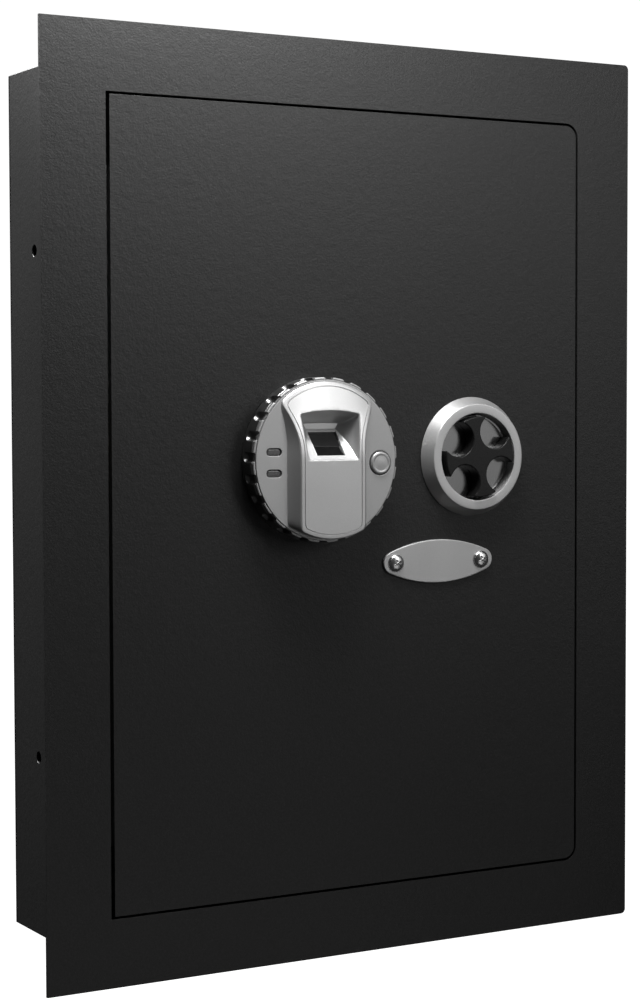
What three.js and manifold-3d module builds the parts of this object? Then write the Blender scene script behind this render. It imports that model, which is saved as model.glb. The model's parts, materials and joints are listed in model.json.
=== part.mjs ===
// Wall safe with a fingerprint lock, built to sit between two wall studs.
//
// Frame: millimetres, +Z up, +X to the right of a person facing the door, +Y into the wall.
// The origin is the centre of the cut-out in the wall, in the plane of the wall's face,
// which is the plane of the trim flange's rear face.
// Rest pose: door shut, locking bolts drawn back, release plunger up.

import * as THREE from "three";
import { mergeVertices } from "three/addons/utils/BufferGeometryUtils.js";
import Module from "manifold-3d";

const wasm = await Module();
wasm.setup();

// ---------------------------------------------------------------- driving dimensions

const GAP = 0.3; // air left between pieces that touch
const PIERCE = 1; // how far a cutting tool passes the face it cuts
const FINE = 48; // sides of a large round piece
const ROUND = 24; // sides of a medium round piece
const SMALL = 16; // sides of a small round piece

const FLANGE_WIDTH = 394;
const FLANGE_HEIGHT = 533;
const FLANGE_THICK = 2;
const FLANGE_LATCH_RADIUS = 3; // the two corners on the latch side are slightly rounded

const BODY_INSET = 20; // from the flange's edge to the body's outside
const BODY_BACK = 93; // the safe's rear face
const SHEET = 1.5;

const OPENING_WIDTH = 317;
const OPENING_HEIGHT = 456;

const DOOR_THICK = 4;
const DOOR_GAP_HINGE = 2.2;
const DOOR_GAP = 1.5;
const DOOR_LATCH_RADIUS = 7.5;

const HINGE_INSET = 22; // from the door's hinge edge to the hinge axis
const HINGE_Y = 8.5;
const HINGE_PIN_RADIUS = 4;
const BLOCK_WIDTH = 24; // hinge tabs and sockets
const BLOCK_HEIGHT = 13;

const BOLT_RADIUS = 9;
const BOLT_Y = 15;
const BOLT_HEIGHT = 110; // above and below the middle
const BOLT_TIP_X = 149.5;
const BOLT_TRAVEL = 20;

const SCANNER_X = -28.8;
const LOCK_Z = 25; // height of the scanner and of the knob
const SCANNER_RADIUS = 47.5;
const SCALLOPS = 24;

const KNOB_X = 79.7;
const KNOB_RADIUS = 24.2;
const CAM_PIN_ORBIT = BOLT_TRAVEL / Math.SQRT2;
const CAM_PIN_RADIUS = 3;

const PLATE_X = 55.8;
const PLATE_Z = -37;
const PLATE_LENGTH = 76.6;
const PLATE_HEIGHT = 25.8;
const PLATE_END_RADIUS = 6.5;
const PLATE_SCREW_REACH = 30;

const COVER_LEFT = -122;
const COVER_RIGHT = 110;
const COVER_HALF_HEIGHT = 112;
const COVER_BACK = 32;

const PLUNGER_X = 94;
const PLUNGER_Y = 9.5;
const PLUNGER_RADIUS = 4;

const SHELF_HEIGHT = 77; // above and below the middle
const SHELF_FRONT = 41;

// ---------------------------------------------------------------- places worked out from them

const FRONT = -FLANGE_THICK;
const BODY_HALF_WIDTH = FLANGE_WIDTH / 2 - BODY_INSET;
const BODY_HALF_HEIGHT = FLANGE_HEIGHT / 2 - BODY_INSET;
const DOOR_LEFT = -OPENING_WIDTH / 2 + DOOR_GAP_HINGE;
const DOOR_RIGHT = OPENING_WIDTH / 2 - DOOR_GAP;
const DOOR_HALF_HEIGHT = OPENING_HEIGHT / 2 - DOOR_GAP;
const DOOR_BACK = FRONT + DOOR_THICK;
const HINGE_X = DOOR_LEFT + HINGE_INSET;
const FACE = FRONT - GAP; // where the fittings on the door's front begin
const REAR = DOOR_BACK + GAP; // where the fittings on the door's rear begin

// ---------------------------------------------------------------- materials

function finish(color, roughness, metalness) {
  return new THREE.MeshStandardMaterial({ color, roughness, metalness });
}

const POWDER_BLACK = finish(0x232325, 0.6, 0.2);
const ZINC = finish(0xa9adb0, 0.4, 0.9);
const SILVER = finish(0xb4b5b7, 0.35, 0.6);
const DARK_CHROME = finish(0x4a4b4e, 0.2, 0.95);
const CHROME = finish(0xd6d8da, 0.12, 1);
const BLACK_PLASTIC = finish(0x141415, 0.35, 0);
const GLASS = finish(0x08090a, 0.05, 0);
const BRASS = finish(0xb08d45, 0.35, 0.9);
const BOARD_GREEN = finish(0x1f5a36, 0.6, 0);
const CELL = finish(0x8b6a2c, 0.4, 0.3);

// ---------------------------------------------------------------- shape helpers

// A closed geometry as a solid that can be joined and cut.
function solid(geometry) {
  const bare = geometry.index ? geometry.toNonIndexed() : geometry.clone();
  bare.deleteAttribute("normal");
  bare.deleteAttribute("uv");
  const merged = mergeVertices(bare, 1e-4);
  return new wasm.Manifold(
    new wasm.Mesh({
      numProp: 3,
      vertProperties: merged.getAttribute("position").array,
      triVerts: new Uint32Array(merged.index.array),
    }),
  );
}

function geometryOf(made) {
  const mesh = made.getMesh();
  const geometry = new THREE.BufferGeometry();
  geometry.setAttribute("position", new THREE.BufferAttribute(mesh.vertProperties, 3));
  geometry.setIndex(new THREE.BufferAttribute(mesh.triVerts, 1));
  const flat = geometry.toNonIndexed();
  flat.computeVertexNormals();
  return flat;
}

function join(...geometries) {
  return geometryOf(geometries.map(solid).reduce((a, b) => a.add(b)));
}

function cut(geometry, ...tools) {
  return geometryOf(tools.map(solid).reduce((a, b) => a.subtract(b), solid(geometry)));
}

function common(a, b) {
  return geometryOf(solid(a).intersect(solid(b)));
}

// A block between two values on each axis.
function block([x0, x1], [y0, y1], [z0, z1]) {
  return new THREE.BoxGeometry(x1 - x0, y1 - y0, z1 - z0).translate(
    (x0 + x1) / 2,
    (y0 + y1) / 2,
    (z0 + z1) / 2,
  );
}

// Round bars along the three axes, each centred on a point of the other two.
function barY(radius, [y0, y1], x = 0, z = 0, sides = ROUND) {
  return new THREE.CylinderGeometry(radius, radius, y1 - y0, sides).translate(x, (y0 + y1) / 2, z);
}

function barZ(radius, [z0, z1], x, y, sides = ROUND) {
  return new THREE.CylinderGeometry(radius, radius, z1 - z0, sides)
    .rotateX(Math.PI / 2)
    .translate(x, y, (z0 + z1) / 2);
}

function barX(radius, [x0, x1], y, z, sides = ROUND) {
  return new THREE.CylinderGeometry(radius, radius, x1 - x0, sides)
    .rotateZ(Math.PI / 2)
    .translate((x0 + x1) / 2, y, z);
}

// A flat outline in X and Z, given thickness along Y.
function plate(shape, [y0, y1], curveSegments = 8) {
  return new THREE.ExtrudeGeometry(shape, { depth: y1 - y0, bevelEnabled: false, curveSegments })
    .rotateX(Math.PI / 2)
    .translate(0, y1, 0);
}

// An outline in Y (first) and Z (second), given length along X.
function sideProfile(points, [x0, x1]) {
  const shape = new THREE.Shape(points.map(([y, z]) => new THREE.Vector2(y, z)));
  return new THREE.ExtrudeGeometry(shape, { depth: x1 - x0, bevelEnabled: false })
    .applyMatrix4(new THREE.Matrix4().set(0, 0, 1, 0, 1, 0, 0, 0, 0, 1, 0, 0, 0, 0, 0, 1))
    .translate(x0, 0, 0);
}

// A rectangle whose two corners on the +X side are rounded.
function latchRounded(left, right, halfHeight, radius) {
  const shape = new THREE.Shape();
  shape.moveTo(left, -halfHeight);
  shape.lineTo(right - radius, -halfHeight);
  shape.absarc(right - radius, -halfHeight + radius, radius, -Math.PI / 2, 0, false);
  shape.absarc(right - radius, halfHeight - radius, radius, 0, Math.PI / 2, false);
  shape.lineTo(left, halfHeight);
  shape.closePath();
  return shape;
}

function hexagon(acrossFlats) {
  const radius = acrossFlats / Math.sqrt(3);
  const corners = [0, 1, 2, 3, 4, 5].map((k) => (k * Math.PI) / 3);
  return new THREE.Shape(
    corners.map((a) => new THREE.Vector2(radius * Math.cos(a), radius * Math.sin(a))),
  );
}

function piece(name, geometry, material) {
  const mesh = new THREE.Mesh(geometry, material);
  mesh.name = name;
  return mesh;
}

function groupAt(x, y, z, ...children) {
  const group = new THREE.Group();
  group.position.set(x, y, z);
  group.add(...children);
  return group;
}

// ---------------------------------------------------------------- fixed parts

function wallFlange() {
  const sheet = plate(
    latchRounded(-FLANGE_WIDTH / 2, FLANGE_WIDTH / 2, FLANGE_HEIGHT / 2, FLANGE_LATCH_RADIUS),
    [FRONT, 0],
  );
  const opening = plate(
    latchRounded(
      -OPENING_WIDTH / 2,
      OPENING_WIDTH / 2,
      OPENING_HEIGHT / 2,
      DOOR_LATCH_RADIUS + DOOR_GAP,
    ),
    [FRONT - PIERCE, PIERCE],
  );
  const bodySeat = block(
    [-BODY_HALF_WIDTH - GAP, BODY_HALF_WIDTH + GAP],
    [-GAP, PIERCE],
    [-BODY_HALF_HEIGHT - GAP, BODY_HALF_HEIGHT + GAP],
  );
  return piece("wall_flange", cut(sheet, opening, bodySeat), POWDER_BLACK);
}

const STUD_HOLE = { radius: 3.25, y: 56, z: 144 };

function bodyShell() {
  const back = BODY_BACK - SHEET - GAP;
  const outside = block(
    [-BODY_HALF_WIDTH, BODY_HALF_WIDTH],
    [GAP, back],
    [-BODY_HALF_HEIGHT, BODY_HALF_HEIGHT],
  );
  const inside = block(
    [-BODY_HALF_WIDTH + SHEET, BODY_HALF_WIDTH - SHEET],
    [GAP - PIERCE, back + PIERCE],
    [-BODY_HALF_HEIGHT + SHEET, BODY_HALF_HEIGHT - SHEET],
  );
  const reach = BODY_HALF_WIDTH + PIERCE;
  const screwHoles = [-STUD_HOLE.z, STUD_HOLE.z].map((z) =>
    barX(STUD_HOLE.radius, [-reach, reach], STUD_HOLE.y, z, SMALL),
  );
  return piece("body_shell", cut(outside, inside, ...screwHoles), POWDER_BLACK);
}

function backPanel() {
  return piece(
    "back_panel",
    block(
      [-BODY_HALF_WIDTH, BODY_HALF_WIDTH],
      [BODY_BACK - SHEET, BODY_BACK],
      [-BODY_HALF_HEIGHT, BODY_HALF_HEIGHT],
    ),
    POWDER_BLACK,
  );
}

const PIN_HOLE = HINGE_PIN_RADIUS + GAP;
const PIN_SHORT = 1; // the pin ends this far inside its socket
const SOCKET_NEAR = OPENING_HEIGHT / 2 + 3;
const HINGE_TAB_INSET = 9; // from the opening's edge to the door's hinge tab

function hingeBlock(name, z0, y0, depth) {
  const body = block(
    [HINGE_X - BLOCK_WIDTH / 2, HINGE_X + BLOCK_WIDTH / 2],
    [y0, y0 + depth],
    [z0, z0 + BLOCK_HEIGHT],
  );
  const hole = barZ(PIN_HOLE, [z0 - PIERCE, z0 + BLOCK_HEIGHT + PIERCE], HINGE_X, HINGE_Y);
  return piece(name, cut(body, hole), ZINC);
}

function hingeSockets() {
  const depth = 2 * (HINGE_Y - GAP);
  return [
    hingeBlock("hinge_socket_upper", SOCKET_NEAR, GAP, depth),
    hingeBlock("hinge_socket_lower", -SOCKET_NEAR - BLOCK_HEIGHT, GAP, depth),
  ];
}

// A door stop: a foot welded behind the flange and a lip that stands into the opening.
const STOP = { lip: 7.5, foot: 4, thick: 2, upperStart: -108, endClear: 12 };

function doorStops() {
  const lipY = [REAR, REAR + STOP.thick];
  const footY = [GAP, REAR + STOP.thick];
  const inner = OPENING_WIDTH / 2 - STOP.lip;
  const footX = OPENING_WIDTH / 2 + STOP.foot;
  const reachZ = OPENING_HEIGHT / 2 - STOP.endClear;
  const latch = join(
    block([inner, footX + STOP.thick], lipY, [-reachZ, reachZ]),
    block([footX, footX + STOP.thick], footY, [-reachZ, reachZ]),
  );
  const innerZ = OPENING_HEIGHT / 2 - STOP.lip;
  const footZ = OPENING_HEIGHT / 2 + STOP.foot;
  const spanX = [STOP.upperStart, inner - GAP];
  const level = (name, side) => {
    const lip = [innerZ * side, (footZ + STOP.thick) * side].sort((a, b) => a - b);
    const foot = [footZ * side, (footZ + STOP.thick) * side].sort((a, b) => a - b);
    return piece(name, join(block(spanX, lipY, lip), block(spanX, footY, foot)), ZINC);
  };
  return [
    piece("door_stop_latch", latch, ZINC),
    level("door_stop_upper", 1),
    level("door_stop_lower", -1),
  ];
}

const RAIL = { leg: 10, thick: 1.2, back: 88 };
const TRAY_PAST_RAIL = 2; // the tray ends this far behind the rail, and its lip this far inside it

function shelvesAndRails() {
  const wall = BODY_HALF_WIDTH - SHEET - GAP;
  const made = [];
  for (const [level, z] of [
    ["upper", SHELF_HEIGHT],
    ["lower", -SHELF_HEIGHT],
  ]) {
    const half = wall - RAIL.thick;
    const railInner = wall - RAIL.leg;
    const tray = join(
      block([-half, half], [SHELF_FRONT, RAIL.back + TRAY_PAST_RAIL], [z, z + RAIL.thick]),
      block(
        [-railInner + TRAY_PAST_RAIL, railInner - TRAY_PAST_RAIL],
        [SHELF_FRONT, SHELF_FRONT + RAIL.thick],
        [z - RAIL.leg, z + RAIL.thick],
      ),
    );
    made.push(piece("shelf_" + level, tray, POWDER_BLACK));
    for (const [side, sign] of [
      ["left", -1],
      ["right", 1],
    ]) {
      const top = z - GAP;
      const along = [SHELF_FRONT + 1, RAIL.back];
      const shelfLeg = [sign * railInner, sign * wall].sort((a, b) => a - b);
      const wallLeg = [sign * (wall - RAIL.thick), sign * wall].sort((a, b) => a - b);
      const rail = join(
        block(shelfLeg, along, [top - RAIL.thick, top]),
        block(wallLeg, along, [top - RAIL.leg, top]),
      );
      made.push(piece("shelf_rail_" + level + "_" + side, rail, ZINC));
    }
  }
  return made;
}

// ---------------------------------------------------------------- door and its fittings

const STEM_HOLE = 9.6;
const SPINDLE_HOLE = 7;
const CYLINDER_HOLE = 9.6;
const EAR = { x: 90, z: COVER_HALF_HEIGHT + 7, hole: 2.2, half: 8, outer: 7, tapDepth: 2.5 };
const PLATE_SCREW = { hole: 2.2, shank: 1.9 };

function coverScrewPlaces() {
  const places = [];
  for (const x of [-EAR.x, EAR.x]) {
    for (const z of [-EAR.z, EAR.z]) {
      places.push([x, z]);
    }
  }
  return places;
}

function doorPanel() {
  const slab = plate(latchRounded(DOOR_LEFT, DOOR_RIGHT, DOOR_HALF_HEIGHT, DOOR_LATCH_RADIUS), [
    FRONT,
    DOOR_BACK,
  ]);
  const through = [FRONT - PIERCE, DOOR_BACK + PIERCE];
  const tapped = coverScrewPlaces().map(([x, z]) =>
    barY(EAR.hole, [DOOR_BACK - EAR.tapDepth, DOOR_BACK + PIERCE], x, z, SMALL),
  );
  const plateScrews = [-1, 1].map((side) =>
    barY(PLATE_SCREW.hole, through, PLATE_X + side * PLATE_SCREW_REACH, PLATE_Z, SMALL),
  );
  return piece(
    "door_panel",
    cut(
      slab,
      barY(STEM_HOLE, through, SCANNER_X, LOCK_Z),
      barY(SPINDLE_HOLE, through, KNOB_X, LOCK_Z),
      barY(CYLINDER_HOLE, through, PLATE_X, PLATE_Z),
      ...tapped,
      ...plateScrews,
    ),
    POWDER_BLACK,
  );
}

const DEAD_BAR = { left: -164.5, right: -140, thick: 4, half: 188 };

function deadBar() {
  const bar = block(
    [DEAD_BAR.left, DEAD_BAR.right],
    [REAR, REAR + DEAD_BAR.thick],
    [-DEAD_BAR.half, DEAD_BAR.half],
  );
  return piece("dead_bar", bar, ZINC);
}

function hingeHalves() {
  const tabFar = OPENING_HEIGHT / 2 - HINGE_TAB_INSET;
  const pinStart = tabFar - BLOCK_HEIGHT;
  const pinEnd = SOCKET_NEAR + BLOCK_HEIGHT - PIN_SHORT;
  const depth = 2 * (HINGE_Y - REAR);
  return [
    hingeBlock("hinge_tab_upper", tabFar - BLOCK_HEIGHT, REAR, depth),
    hingeBlock("hinge_tab_lower", -tabFar, REAR, depth),
    piece("hinge_pin_upper", barZ(HINGE_PIN_RADIUS, [pinStart, pinEnd], HINGE_X, HINGE_Y), CHROME),
    piece("hinge_pin_lower", barZ(HINGE_PIN_RADIUS, [-pinEnd, -pinStart], HINGE_X, HINGE_Y), CHROME),
  ];
}

const GUIDE = { x: 142, foot: 149.5, back: 27, half: 128, thick: 2, clearance: 0.5 };

function boltGuide() {
  const tall = [-GUIDE.half, GUIDE.half];
  const bracket = join(
    block([GUIDE.x, GUIDE.x + GUIDE.thick], [REAR, GUIDE.back], tall),
    block([GUIDE.x, GUIDE.foot], [REAR, REAR + GUIDE.thick], tall),
  );
  const holes = [-BOLT_HEIGHT, BOLT_HEIGHT].map((z) =>
    barX(BOLT_RADIUS + GUIDE.clearance, [GUIDE.x - PIERCE, GUIDE.x + GUIDE.thick + PIERCE], BOLT_Y, z),
  );
  return piece("bolt_guide", cut(bracket, ...holes), ZINC);
}

// Hatch in the mechanism cover over the batteries, and the box behind it.
const HATCH = { x: -86, halfWidth: 31, halfHeight: 29 };
const RESET = { x: -30, z: -80, radius: 5, hole: 5.5, offBoard: 2.6, proud: 1.5 };
const ARM = { bottom: 28, top: 52, front: 8, back: 11, clearance: 1.5 };

function mechanismCover() {
  const outside = block(
    [COVER_LEFT, COVER_RIGHT],
    [REAR, COVER_BACK],
    [-COVER_HALF_HEIGHT, COVER_HALF_HEIGHT],
  );
  const inside = block(
    [COVER_LEFT + SHEET, COVER_RIGHT - SHEET],
    [REAR - PIERCE, COVER_BACK - SHEET],
    [-COVER_HALF_HEIGHT + SHEET, COVER_HALF_HEIGHT - SHEET],
  );
  const ears = coverScrewPlaces().map(([x, z]) =>
    block(
      [x - EAR.half, x + EAR.half],
      [REAR, REAR + SHEET],
      [z - EAR.half * Math.sign(z), z + EAR.outer * Math.sign(z)].sort((a, b) => a - b),
    ),
  );
  const earHoles = coverScrewPlaces().map(([x, z]) =>
    barY(EAR.hole, [REAR - PIERCE, REAR + SHEET + PIERCE], x, z, SMALL),
  );
  const through = [COVER_BACK - SHEET - PIERCE, COVER_BACK + PIERCE];
  const hatch = block(
    [HATCH.x - HATCH.halfWidth, HATCH.x + HATCH.halfWidth],
    through,
    [-HATCH.halfHeight, HATCH.halfHeight],
  );
  const armNotch = block(
    [COVER_RIGHT - SHEET - PIERCE, COVER_RIGHT + PIERCE],
    [REAR - PIERCE, ARM.back + ARM.clearance],
    [ARM.bottom - ARM.clearance, ARM.top + ARM.clearance],
  );
  const resetHole = barY(RESET.hole, through, RESET.x, RESET.z, ROUND);
  return piece(
    "mechanism_cover",
    cut(join(cut(outside, inside), ...ears), hatch, armNotch, resetHole, ...earHoles),
    BLACK_PLASTIC,
  );
}

const COVER_SCREW = { head: 3.6, height: 2, tipClear: 2.1 };

function coverScrews() {
  const headFront = REAR + SHEET + GAP;
  const tip = DOOR_BACK - COVER_SCREW.tipClear;
  return coverScrewPlaces().map(([x, z], index) =>
    piece(
      "cover_screw_" + (index + 1),
      join(
        barY(COVER_SCREW.head, [headFront, headFront + COVER_SCREW.height], x, z, SMALL),
        barY(EAR.hole - GAP, [tip, headFront + PIERCE], x, z, SMALL),
      ),
      ZINC,
    ),
  );
}

// ---------------------------------------------------------------- fingerprint scanner
// Built about its own axis, then placed on the door.

const SCANNER = {
  baseFront: -13.7,
  faceBack: -14,
  faceFront: -17,
  bridgeFront: -25,
  faceInset: 0.6,
  stem: 9.2,
  stemBore: 5,
  stemBoreStart: -5,
  stemEnd: 9,
};

// Round bites taken out of the base's edge, from its front towards the door; phase is a share of a pitch.
const SCALLOP = { radius: 3, back: -5, centrePast: 0.6, sides: 12, phase: 0.8 };

// The finger recess: a sloping floor that faces forward and up, a short back wall and a long roof.
const RECESS = {
  halfWidth: 16,
  floorFront: [-25, 0.6],
  floorBack: [-9, 15.5],
  wallTop: [-9, 20],
  roofFront: [-24, 26.5],
  ahead: 3,
  floorDropAhead: 2.8,
  roofRiseAhead: 1.7,
};

function recessTool() {
  const ahead = SCANNER.bridgeFront - RECESS.ahead;
  return sideProfile(
    [
      [ahead, RECESS.floorFront[1] - RECESS.floorDropAhead],
      RECESS.floorFront,
      RECESS.floorBack,
      RECESS.wallTop,
      RECESS.roofFront,
      [ahead, RECESS.roofFront[1] + RECESS.roofRiseAhead],
    ],
    [-RECESS.halfWidth, RECESS.halfWidth],
  );
}

const BUTTON = {
  x: 35.6,
  z: -2.2,
  radius: 6.6,
  hole: 7,
  well: 7.6,
  wellDepth: 1.5,
  back: 0.9,
  proud: 1.4,
};

function scannerBase() {
  const disc = barY(SCANNER_RADIUS, [SCANNER.baseFront, FACE], 0, 0, SCALLOPS * 4);
  const scallopDepth = [SCANNER.baseFront - PIERCE, SCALLOP.back];
  const scallops = [];
  for (let k = 0; k < SCALLOPS; k += 1) {
    const turn = ((k + SCALLOP.phase) * 2 * Math.PI) / SCALLOPS;
    const x = (SCANNER_RADIUS + SCALLOP.centrePast) * Math.cos(turn);
    const z = (SCANNER_RADIUS + SCALLOP.centrePast) * Math.sin(turn);
    scallops.push(barY(SCALLOP.radius, scallopDepth, x, z, SCALLOP.sides));
  }
  const stem = barY(SCANNER.stem, [FACE - 1, SCANNER.stemEnd]);
  const bore = barY(SCANNER.stemBore, [SCANNER.stemBoreStart, SCANNER.stemEnd + PIERCE]);
  const wellDepth = [SCANNER.baseFront - PIERCE, SCANNER.baseFront + BUTTON.wellDepth];
  const buttonWell = barY(BUTTON.well, wellDepth, BUTTON.x, BUTTON.z);
  return piece(
    "scanner_base",
    cut(join(disc, stem), bore, recessTool(), buttonWell, ...scallops),
    DARK_CHROME,
  );
}

const LED = { x: -34.2, upper: 5, lower: -7.1, length: 9.8, height: 4.4, sunk: 0.8 };

function ledOutline(clearance) {
  const radius = LED.height / 2 + clearance;
  const reach = (LED.length - LED.height) / 2;
  const shape = new THREE.Shape();
  shape.absarc(reach, 0, radius, -Math.PI / 2, Math.PI / 2, false);
  shape.absarc(-reach, 0, radius, Math.PI / 2, (3 * Math.PI) / 2, false);
  shape.closePath();
  return shape;
}

function scannerFace() {
  const radius = SCANNER_RADIUS - SCANNER.faceInset;
  const disc = barY(radius, [SCANNER.faceFront, SCANNER.faceBack], 0, 0, SCALLOPS * 4);
  const through = [SCANNER.faceFront - PIERCE, SCANNER.faceBack + PIERCE];
  const ledSlots = [LED.upper, LED.lower].map((z) =>
    plate(ledOutline(0), through, 4).translate(LED.x, 0, z),
  );
  return piece(
    "scanner_face",
    cut(disc, barY(BUTTON.hole, through, BUTTON.x, BUTTON.z), recessTool(), ...ledSlots),
    SILVER,
  );
}

// Outline of the bridge's front: straight sides that flare near the top, arcs that follow the disc.
const BRIDGE = { half: 21.3, flareHalf: 26.5, flareStart: 6, radius: 40.4, draft: 4.6, straight: 2 };

// How far the bridge's front stands forward at each height: all the way below, less towards the top.
const BRIDGE_FALL = [
  [SCANNER.faceFront - GAP - 0.8, 46],
  [SCANNER.bridgeFront + 3.6, 34],
  [SCANNER.bridgeFront + 1, 20],
  [SCANNER.bridgeFront, 4],
];

function bridgeOutline() {
  const lowAngle = Math.asin(BRIDGE.half / BRIDGE.radius);
  const highAngle = Math.asin(BRIDGE.flareHalf / BRIDGE.radius);
  const bottomZ = -BRIDGE.radius * Math.cos(lowAngle);
  const topZ = BRIDGE.radius * Math.cos(highAngle);
  const shape = new THREE.Shape();
  shape.moveTo(BRIDGE.half, bottomZ);
  shape.lineTo(BRIDGE.half, BRIDGE.flareStart);
  shape.quadraticCurveTo(BRIDGE.half, (topZ + BRIDGE.flareStart) / 2, BRIDGE.flareHalf, topZ);
  shape.absarc(0, 0, BRIDGE.radius, Math.PI / 2 - highAngle, Math.PI / 2 + highAngle, false);
  shape.quadraticCurveTo(
    -BRIDGE.half,
    (topZ + BRIDGE.flareStart) / 2,
    -BRIDGE.half,
    BRIDGE.flareStart,
  );
  shape.lineTo(-BRIDGE.half, bottomZ);
  shape.absarc(0, 0, BRIDGE.radius, -Math.PI / 2 - lowAngle, -Math.PI / 2 + lowAngle, false);
  return shape;
}

function scannerBridge() {
  const rise = SCANNER.faceFront - GAP - SCANNER.bridgeFront;
  const drafted = new THREE.ExtrudeGeometry(bridgeOutline(), {
    depth: BRIDGE.straight,
    bevelEnabled: true,
    bevelThickness: rise,
    bevelSize: BRIDGE.draft,
    bevelSegments: 1,
    curveSegments: 8,
  })
    .rotateX(Math.PI / 2)
    .translate(0, SCANNER.faceFront - GAP + BRIDGE.straight, 0);
  const past = SCANNER_RADIUS + PIERCE;
  const saddle = sideProfile(
    [
      [SCANNER.faceFront - GAP, -past],
      [SCANNER.faceFront - GAP, past],
      ...BRIDGE_FALL,
      [SCANNER.bridgeFront, -past],
    ],
    [-past, past],
  );
  return piece("scanner_bridge", cut(common(drafted, saddle), recessTool()), SILVER);
}

const WINDOW = { width: 18, length: 17, thick: 1, along: 0.56 }; // along: share of the floor's length

function sensorWindow() {
  const [y0, z0] = RECESS.floorFront;
  const [y1, z1] = RECESS.floorBack;
  const length = Math.hypot(y1 - y0, z1 - z0);
  const glass = new THREE.BoxGeometry(WINDOW.width, WINDOW.length, WINDOW.thick);
  const window = piece("sensor_window", glass, GLASS);
  window.rotation.x = Math.atan2(z1 - z0, y1 - y0);
  const lift = (WINDOW.thick / 2 + GAP) / length;
  window.position.set(
    0,
    y0 + (y1 - y0) * WINDOW.along - (z1 - z0) * lift,
    z0 + (z1 - z0) * WINDOW.along + (y1 - y0) * lift,
  );
  return window;
}

function ledLens(name, z) {
  const lens = plate(ledOutline(-GAP), [SCANNER.faceFront + LED.sunk, SCANNER.faceBack], 4);
  return groupAt(LED.x, 0, z, piece(name, lens, BLACK_PLASTIC));
}

const NUT = { acrossFlats: 27, thick: 5 };

function scannerNut() {
  const nut = cut(
    plate(hexagon(NUT.acrossFlats), [REAR, REAR + NUT.thick]),
    barY(SCANNER.stem + GAP, [REAR - PIERCE, REAR + NUT.thick + PIERCE]),
  );
  return piece("scanner_nut", nut, ZINC);
}

function scanButton() {
  const back = SCANNER.baseFront - BUTTON.back;
  const button = barY(BUTTON.radius, [SCANNER.faceFront - BUTTON.proud, back], 0, 0, ROUND);
  return groupAt(BUTTON.x, 0, BUTTON.z, piece("scan_button", button, SILVER));
}

function scanner() {
  return groupAt(
    SCANNER_X,
    0,
    LOCK_Z,
    scannerBase(),
    scannerFace(),
    scannerBridge(),
    sensorWindow(),
    ledLens("led_lens_upper", LED.upper),
    ledLens("led_lens_lower", LED.lower),
    scannerNut(),
    scanButton(),
  );
}

// ---------------------------------------------------------------- turn knob and cam

const RING = { base: 35.7, front: 31.25, inner: 26, frontY: -10.3, floor: 1.5 };

function knobEscutcheon() {
  const profile = [
    [SPINDLE_HOLE, FACE],
    [SPINDLE_HOLE, FACE - RING.floor],
    [RING.inner, FACE - RING.floor],
    [RING.inner, RING.frontY],
    [RING.front, RING.frontY],
    [RING.base, FACE],
    [SPINDLE_HOLE, FACE],
  ].map(([radius, y]) => new THREE.Vector2(radius, y));
  return piece("knob_escutcheon", new THREE.LatheGeometry(profile, FINE), SILVER);
}

const CROSS = { front: -12.4, back: -4.8, bite: 10.5, biteReach: 18.4, tilt: Math.PI / 18 };

function knobCross() {
  const disc = barY(KNOB_RADIUS, [CROSS.front, CROSS.back], 0, 0, FINE);
  const bites = [0, 1, 2, 3].map((k) => {
    const turn = CROSS.tilt + Math.PI / 4 + (k * Math.PI) / 2;
    return barY(
      CROSS.bite,
      [CROSS.front - PIERCE, CROSS.back + PIERCE],
      CROSS.biteReach * Math.cos(turn),
      CROSS.biteReach * Math.sin(turn),
      ROUND,
    );
  });
  return piece("knob_cross", cut(disc, ...bites), BLACK_PLASTIC);
}

const CAM = { front: 3.5, back: 6.5, radius: 19, pinEnd: 13, spindle: 5 };

function knobSpindle() {
  return piece("knob_spindle", barY(CAM.spindle, [CROSS.back + GAP, ARM.front - GAP]), ZINC);
}

function knobCam() {
  const reach = CAM_PIN_ORBIT * Math.SQRT1_2;
  const disc = cut(
    barY(CAM.radius, [CAM.front, CAM.back], 0, 0, FINE),
    barY(CAM.spindle + GAP, [CAM.front - PIERCE, CAM.back + PIERCE]),
  );
  const pin = barY(CAM_PIN_RADIUS, [CAM.front + 1, CAM.pinEnd], -reach, reach);
  return piece("knob_cam", join(disc, pin), ZINC);
}

function knob() {
  return groupAt(KNOB_X, 0, LOCK_Z, knobEscutcheon(), knobCross(), knobSpindle(), knobCam());
}

// ---------------------------------------------------------------- bolt work

const BAR = {
  left: 60,
  legFront: 111,
  web: 118,
  end: 121,
  webBack: 24,
  half: 125,
  pinSlack: 0.7,
  plungerSlack: 0.6,
  notchDepth: 5,
};

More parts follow.
